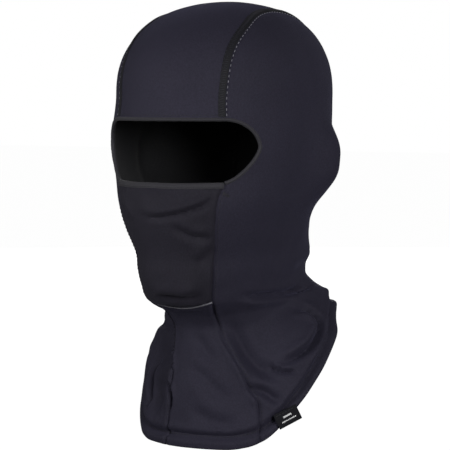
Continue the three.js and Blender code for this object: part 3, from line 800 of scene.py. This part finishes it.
# ---- The fabric panels ----
left_places, left_shares = side_grid(left_crown_seam, opening_end, left_mask_seam, left_neck_seam)
right_places, right_shares = side_grid(
    right_crown_seam, mirrored(opening_end), right_mask_seam, right_neck_seam
)
PANELS = {
    "crown_centre_panel": centre_grid(left_shares, right_shares),
    "left_side_panel": left_places,
    "right_side_panel": right_places[:, ::-1],
    "face_mask_panel": mask_grid(),
    "front_neck_panel": neck_grid(),
}
outer_faces = {}
for name, places in PANELS.items():
    points = at_place(places)
    flat = points.reshape(-1, 3)
    directions = normals_at(flat)
    height = relief(flat)
    outer = (flat + directions * height[:, None]).reshape(points.shape)
    inner = (flat + directions * (inner_relief(height) - FABRIC)[:, None]).reshape(points.shape)
    outer_faces[name] = outer
    vertices, faces = shell(outer, inner)
    uv = (strip_uv(points) if name == "crown_centre_panel" else wrapped_uv(places)).reshape(-1, 2)
    mask = name == "face_mask_panel"
    quads = (outer.shape[0] - 1) * (outer.shape[1] - 1)
    sides = [0] * quads + [1] * quads + [0] * (len(faces) - 2 * quads)
    make(
        name + "_cloth", vertices, faces, sides, [MASK_KNIT if mask else KNIT, INSIDE_PAINTED_LIGHT],
        "hood", "mask_knit" if mask else "outer_knit", name, uv=np.vstack([uv, uv]),
    )


# ---- Laying threads, tapes and edges on the finished cloth ----
def outer_surface():
    vertices, faces, start = [], [], 0
    for grid in outer_faces.values():
        vertices += grid.reshape(-1, 3).tolist()
        faces += grid_faces(grid.shape[0] - 1, grid.shape[1] - 1, start).tolist()
        start += grid.shape[0] * grid.shape[1]
    return BVHTree.FromPolygons(vertices, faces)


SURFACE = outer_surface()
SEARCH = 12  # how far on either side of the plain surface the cloth may lie


def drape(points, lift=0.0):
    """Points moved onto the outer face of the cloth and lifted off it, and the normals there."""
    base = on_hood(points)
    normals = normals_at(base)
    laid = []
    for point, normal in zip(base, normals):
        direction = Vector(-normal)
        hit = SURFACE.ray_cast(Vector(point) - direction * SEARCH, direction, 2 * SEARCH)[0]
        laid.append(np.array(hit if hit is not None else SURFACE.find_nearest(Vector(point))[0]))
    return np.array(laid) + normals * lift, normals


def beside(line, count, aside, start=0.0, end=1.0):
    """Points on the plain surface beside a line of places, to its right when looking along it."""
    points = at_place(line(steps(count, start, end)))
    ahead = unit(np.gradient(points, axis=0))
    return on_hood(points + unit(np.cross(ahead, normals_at(points))) * aside)


def stitch(points, normals, radius, index=0):
    """One stitch: a thread with rounded ends that bows up between the two holes it goes through."""
    share = np.linspace(0, 1, len(points))
    bow = np.sin(np.pi * share)[:, None]
    ends = np.sqrt(np.clip(1 - (2 * share - 1) ** 6, 0.12, 1))
    path = points + normals * (bow * radius * 1.1)
    return (*tube(path, normals, round_section(radius, 6), ends), index)


def stitch_row(points, pitch=3.0, length=2.0, radius=0.22, lift=0.0, index=0, slant=0.0):
    """Stitches laid along a line; slant moves each one's ends sideways, in opposite directions."""
    run = run_along(points)
    ahead = unit(np.gradient(points, axis=0))
    right = unit(np.cross(ahead, normals_at(on_hood(points))))
    parts = []
    for start in np.arange(0.5, run[-1] - length, pitch):
        where = start + np.linspace(0, length, 5)
        sideways = at_run(where, run, right) * np.linspace(-slant, slant, 5)[:, None]
        parts.append(stitch(*drape(at_run(where, run, points) + sideways, lift), radius, index))
    return parts


# Rows of stitches on a crown seam's tape, as the distance from the seam and stitch_row's values.
FLATLOCK_ROWS = [
    (-0.9, 4.0, 1.9, 0.27, 0.25, 1),
    (FLATLOCK_WIDTH - 0.5, 3.4, 2.4, 0.2, 0.35, 2),
    (FLATLOCK_WIDTH / 2, 1.7, 0.9, 0.22, 0.5, 2, 1.7),
]


def crown_seam_tape(name, line, side):
    """A tape of thread beside a crown seam; side is 1 if the centre panel is on the line's right."""
    def row(aside):
        return beside(line, 300, side * aside, 0.004, 0.985)

    half = FLATLOCK_WIDTH / 2
    flank = [(half, -0.35), (half, 0.2), (half * 0.7, 0.42)]
    domed = flank + [(0, 0.5)] + [(-aside, out) for aside, out in flank[::-1]]
    parts = [(*tube(*drape(row(half)), domed), 0)]
    for aside, *stitches in FLATLOCK_ROWS:
        parts += stitch_row(row(aside), *stitches)
    build(name + "_tape", parts, [SEAM_TAPE_AND_SHADE, THREAD, DARK_THREAD], "hood", "thread", name)


def topstitches(name, line, aside, start, end):
    """Stitches beside a plain seam, on the side panel."""
    parts = stitch_row(beside(line, 200, aside, start, end))
    build(name + "_stitches", parts, [DARK_THREAD], "hood", "thread", name)


SIDES = {
    "left_": (-1, left_crown_seam, left_mask_seam, left_neck_seam),
    "right_": (1, right_crown_seam, right_mask_seam, right_neck_seam),
}
for word, (side, crown_seam, mask_seam, neck_seam) in SIDES.items():
    crown_seam_tape(word + "crown_flatlock_seam", crown_seam, side)
    topstitches(word + "mask_seam_thread", mask_seam, side * TOPSTITCH_ASIDE, 0.05, 0.97)
    topstitches(word + "neck_seam_thread", neck_seam, side * TOPSTITCH_ASIDE, 0.04, 0.9)


# ---- Edges of the eye opening and of the mask ----
def opening_edge(t):
    """Round one end of the eye opening, along its top edge and round the other end."""
    third = 3 * t
    first = opening_end(np.clip(1 - third, 0, 1))
    last = mirrored(opening_end)(np.clip(third - 2, 0, 1))
    degrees = mix(OPENING_STRAIGHT, -OPENING_STRAIGHT, np.clip(third - 1, 0, 1))
    top = place(degrees, head_level(OPENING_TOP_Z))
    return np.where((third < 1)[:, None], first, np.where((third > 2)[:, None], last, top))


def rolled_binding():
    """A soft rolled edge, a little gathered by its thread."""
    path = at_place(opening_edge(steps(360)))
    run = run_along(path)
    gathers = 1 + 0.035 * np.sin(run * 2 * np.pi / 3.1) + 0.03 * np.sin(run * 2 * np.pi / 11)
    normals = normals_at(path)
    section = round_section(BINDING_RADIUS, 14) * [1, 1.15]
    return [(*tube(path - normals * FABRIC * 0.45, normals, section, scale=gathers), 0)]


build("opening_binding", rolled_binding(), [EDGING], "hood", "edging", "eye_opening_binding")


def brow_line(t):
    edge = opening_edge(t)
    return place(edge[..., 0], edge[..., 1] - BROW_STITCH_ABOVE / (BROW_Z - JAW_Z))


build(
    "brow_stitches", stitch_row(at_place(brow_line(steps(200, 0.34, 0.66))), 2.8, 1.9),
    [DARK_THREAD], "hood", "thread", "brow_binding_stitch",
)


def across_face(z, short_by, count=120):
    """Points on a level line across the mask, which stops short of its corners."""
    half_width = OPENING_STRAIGHT - short_by
    return at_place(place(steps(count, -half_width, half_width), head_level(z)))


def mask_band():
    """The mask's top edge, turned down and inside: a flat strip with a rounded top."""
    half, front, behind = BAND_HEIGHT / 2, 0.75, -FABRIC - 0.7
    section = [
        (half, front - 0.35), (half - 0.5, front), (-half + 1.0, front + 0.15),
        (-half + 0.25, front - 0.35), (-half, -0.8), (-half + 0.25, behind + 0.3),
        (-half + 0.9, behind), (half, behind),
    ]
    return [(*tube(*drape(across_face(BAND_MIDDLE_Z, 0.6)), section), 0)]


build("mask_top_band_cloth", mask_band(), [EDGING], "hood", "edging", "mask_top_band")


def corner_tack(sign):
    """A short dense row of stitches that holds a corner of the mask."""
    start = np.array([sign * 46.5, -84.5, 190.5])
    end = np.array([sign * 50.5, -81.0, 188.0])
    return stitch_row(on_hood(mix(start, end, steps(12)[:, None])), 0.75, 0.5, 0.2, 0.1, 1, slant=1.3)


band_stitches = stitch_row(across_face(BAND_STITCH_Z, 1.5), 2.6, 1.8, 0.2, 0.7)
build(
    "mask_band_stitches", band_stitches + corner_tack(1) + corner_tack(-1), [DARK_THREAD, EDGING],
    "hood", "thread", "mask_band_stitch",
)


def flat_elastic():
    """A narrow strip that lies behind the mask's top band."""
    section = [(-1.5, -3.0), (1.5, -3.0), (1.5, -2.4), (-1.5, -2.4)]
    return [(*tube(*drape(across_face(BAND_MIDDLE_Z, 3, 60)), section), 0)]


build("mask_elastic", flat_elastic(), [ELASTIC], "hood", "elastic", "mask_top_elastic", sharp=30)


def chin_piping():
    """A thin cord whose twist swells and narrows it."""
    points, normals = drape(beside(chin_seam, 90, -0.5), 0.15)
    twist = 1 + 0.1 * np.sin(np.arange(91) * 1.9)
    return [(*tube(points, normals, round_section(0.55), scale=twist), 0)]


build("chin_piping", chin_piping(), [PIPING], "hood", "edging", "chin_seam_piping")


def mask_lining():
    """A second layer behind the mask, which stops short of the seams round it."""
    places = mask_grid()[4:-10, 3:-3]
    points = at_place(places)
    flat = points.reshape(-1, 3)
    directions, height = normals_at(flat), inner_relief(relief(flat)) - FABRIC - LINING_GAP
    outer = (flat + directions * height[:, None]).reshape(points.shape)
    inner = (flat + directions * (height - LINING_THICKNESS)[:, None]).reshape(points.shape)
    uv = wrapped_uv(places).reshape(-1, 2)
    build(
        "mask_lining", [(*shell(outer, inner), 0)], [LINING], "hood", "lining_mesh",
        "face_mask_lining", uv=np.vstack([uv, uv]),
    )


mask_lining()


# ---- The hem ----
def hem_fold():
    """The turned-in hem: a lip under the panels' edges and a strip up the inside."""
    section = [
        (0.0, 0.0), (-0.7, -0.35), (-1.0, -FABRIC), (-0.8, -2.5), (0.3, -2.95), (7.7, -2.9),
        (8.1, -2.35), (7.7, -1.8), (0.5, -FABRIC - 0.1),
    ]
    degrees = steps(420, -180, 180)[:-1]
    rings = []
    for up, out in section:
        base = above_hem(degrees, up)
        height = relief(above_hem(degrees, max(up, 0.0)))
        if out < 0:
            height = inner_relief(height)
        rings.append(base + normals_at(base) * (height + out)[:, None])
    quads = grid_faces(len(degrees), len(section), ring=True, closed=True)
    return [(np.stack(rings, 1).reshape(-1, 3), quads.tolist(), 0)]


build("hem_turned_edge", hem_fold(), [KNIT], "hood", "outer_knit", "hem_fold")

hem_circle = above_hem(steps(900, -179.9, 179.9), HEM_HEIGHT)
build(
    "hem_stitches", stitch_row(hem_circle, length=2.1), [DARK_THREAD], "hood", "thread",
    "hem_stitch_thread",
)


# ---- Labels, in their own frames: x along the sewn edge, y towards the wearer, z up ----
LABEL_ANGLE, LABEL_ABOVE, LABEL_TILT = 59.0, 8.5, math.radians(22)
LABEL_WIDTH, LABEL_HEIGHT, LABEL_STANDOFF = 19.0, 11.5, 2.5
CARE_WIDTH, CARE_HEIGHT, CARE_TOP = 20.0, 30.0, 152.0


def hem_label_pose():
    here, following = above_hem(np.array([LABEL_ANGLE, LABEL_ANGLE + 1]), LABEL_ABOVE)
    out = normals_at(here[None])[0]
    along = unit(following - here - out * ((following - here) @ out))
    inward = -out
    up = np.cross(along, inward)
    turned = along * math.cos(LABEL_TILT) - up * math.sin(LABEL_TILT)
    return here + out * LABEL_STANDOFF, np.array([turned, inward, np.cross(turned, inward)])


def placed(points, pose):
    origin, axes = pose
    return origin + points @ axes


def folded_tab(width, height, thickness, bend):
    """A sheet that hangs from its sewn edge, thin where it is sewn and rounder at its bottom fold."""
    down = steps(20)
    across = steps(24, -width / 2, width / 2)
    x, drop = np.meshgrid(across, down)
    round_sides = 1 - 0.25 * np.abs(2 * x / width) ** 8
    round_fold = np.sqrt(np.clip(1.02 - drop**14, 0.02, 1))
    half = thickness / 2 * (0.85 + 0.35 * smooth(drop)) * round_fold * round_sides
    wave = bend * np.sin(drop * np.pi * 0.9) * np.cos(x / width * 2.2)
    outer = np.stack([x, -wave - half, -drop * height], -1)
    inner = np.stack([x, -wave + half, -drop * height], -1)
    return outer, inner


def raised_bar(outer, x, down, width, height, lift=0.1):
    """A thin raised bar on a tab's face, from the place of one corner and its size."""
    grid = outer.reshape(-1, 3)
    points = []
    for a, b in ((x, down), (x + width, down), (x + width, down + height), (x, down + height)):
        nearest = np.argmin(np.hypot(grid[:, 0] - a, grid[:, 2] + b))
        points.append((a, grid[nearest, 1], -b))
    step = np.array([0, lift, 0])
    sides = [[i, (i + 1) % 4, (i + 1) % 4 + 4, i + 4] for i in range(4)]
    return np.vstack([points - step, points + step]), [[0, 1, 2, 3], [7, 6, 5, 4]] + sides


def hang_label(name, size, bend, pose, *where):
    """A label folded double; gives its outer face."""
    outer, inner = folded_tab(*size, bend)
    vertices, faces = shell(outer, inner)
    build(name, [(placed(vertices, pose), faces, 0)], *where)
    return outer


hem_pose = hem_label_pose()
tab = hang_label(
    "hem_label_woven", (LABEL_WIDTH, LABEL_HEIGHT, 0.9), 0.35, hem_pose, [WOVEN],
    "hem_label_flap", "woven_label", "hem_label",
)

# The label's generic mark: two plain woven lines, with no letters.
mark_parts = []
for bar in ((-3.4, 3.9, 6.8, 1.3), (-6.0, 7.3, 12.0, 0.8)):
    points, faces = raised_bar(tab, *bar)
    mark_parts.append((placed(points, hem_pose), faces, 0))
build("hem_label_mark", mark_parts, [MARK], "hem_label_flap", "woven_label", sharp=30)


def label_stitches(width, face_y, pose, drop=1.6, pitch=2.6, length=1.8, margin=1.2):
    """A row of stitches through a label, just below its sewn edge."""
    parts = []
    for x in np.arange(-width / 2 + margin, width / 2 - pitch, pitch):
        path = np.stack([np.linspace(x, x + length, 5), np.full(5, face_y), np.full(5, -drop)], -1)
        parts.append(stitch(placed(path, pose), np.tile(-pose[1][1], (5, 1)), 0.2))
    return parts


build(
    "hem_label_stitches", label_stitches(LABEL_WIDTH, -0.5, hem_pose), [EDGING],
    "hem_label_flap", "thread", "hem_label_stitch",
)

care_pose = np.array([0.0, CARE_LABEL_Y, CARE_TOP]), np.eye(3)
hang_label(
    "care_label_satin", (CARE_WIDTH, CARE_HEIGHT, 0.5), 0.5, care_pose, [SATIN],
    "care_label_flap", "satin_label", "care_label",
)
build(
    "care_label_stitches", label_stitches(CARE_WIDTH, -0.35, care_pose), [SATIN],
    "care_label_flap", "satin_label", "care_label_stitch",
)


# ---- Studio ----
WHITE = (1, 1, 1, 1)


def soft_light(name, place_mm, size_mm, power):
    lamp = bpy.data.lights.new(name, "AREA")
    lamp.shape, lamp.size, lamp.energy = "DISK", size_mm * MM, power
    obj = new_object(name, lamp)
    obj.location = to_row(place_mm)
    aim = Vector(to_row([0, 0, 170])) - obj.location
    obj.rotation_euler = aim.to_track_quat("-Z", "Y").to_euler()
    obj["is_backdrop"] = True


def studio_world(light, backdrop):
    """Even light from all sides, dimmer from above, with a white backdrop for the camera."""
    world = bpy.data.worlds.new("studio")
    bpy.context.scene.world = world
    world.use_nodes = True
    n = Nodes(world.node_tree)
    upward = n.add("ShaderNodeSeparateXYZ", n.add("ShaderNodeTexCoord"), output=2)
    strength = n.stretch(upward, 0.0, 1.0, light, light * 0.1)
    around = n.add("ShaderNodeBackground", Color=WHITE, Strength=strength)
    seen = n.add("ShaderNodeBackground", Color=WHITE, Strength=backdrop)
    either = n.add("ShaderNodeMixShader", n.add("ShaderNodeLightPath"), around, seen)
    n.link(either, n.tree.nodes["World Output"].inputs["Surface"])


def floor(radius_m=6.0):
    """A matt floor under the lowest piece, which the camera sees as nearly white."""
    lowest = min((o.matrix_world @ v.co).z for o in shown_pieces() for v in o.data.vertices)
    corners = [(x * radius_m, y * radius_m, lowest) for x, y in ((-1, -1), (1, -1), (1, 1), (-1, 1))]
    mesh = bpy.data.meshes.new("studio_floor")
    mesh.from_pydata(corners, [], [(0, 1, 2, 3)])
    material, n, shader = new_material("studio_floor")
    glow = n.math("MULTIPLY", n.add("ShaderNodeLightPath"), 0.97)
    n.set(
        shader, Base_Color=(0.2, 0.2, 0.2, 1), Roughness=0.9, Specular_IOR_Level=0.0,
        Emission_Color=WHITE, Emission_Strength=glow,
    )
    mesh.materials.append(material)
    new_object("studio_floor", mesh)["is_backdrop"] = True


def camera(azimuth, elevation, distance_mm, target_mm, view_mm):
    """A camera that sees view_mm across at the target, from an angle round the hood's front."""
    turn, climb = math.radians(azimuth), math.radians(elevation)
    level = math.cos(climb)
    back = Vector((math.sin(turn) * level, -math.cos(turn) * level, math.sin(climb)))
    lens = bpy.data.cameras.new("main_view")
    lens.lens_unit = "FOV"
    lens.angle = 2 * math.atan(view_mm / 2 / distance_mm)
    obj = new_object("main_view", lens)
    obj.location = Vector(to_row(target_mm)) + back * distance_mm * MM
    obj.rotation_euler = back.to_track_quat("Z", "Y").to_euler()
    bpy.context.scene.camera = obj


studio_world(light=0.2, backdrop=1.0)
soft_light("key", (-230, -470, 290), 260, 1.0)
soft_light("fill", (1150, -900, 500), 600, 12)
soft_light("rim", (-800, 1350, 300), 700, 7)
floor()
camera(azimuth=30, elevation=4.4, distance_mm=1300, target_mm=(0, 0, 160.5), view_mm=346.5)
bpy.context.scene.view_settings.view_transform = "Standard"
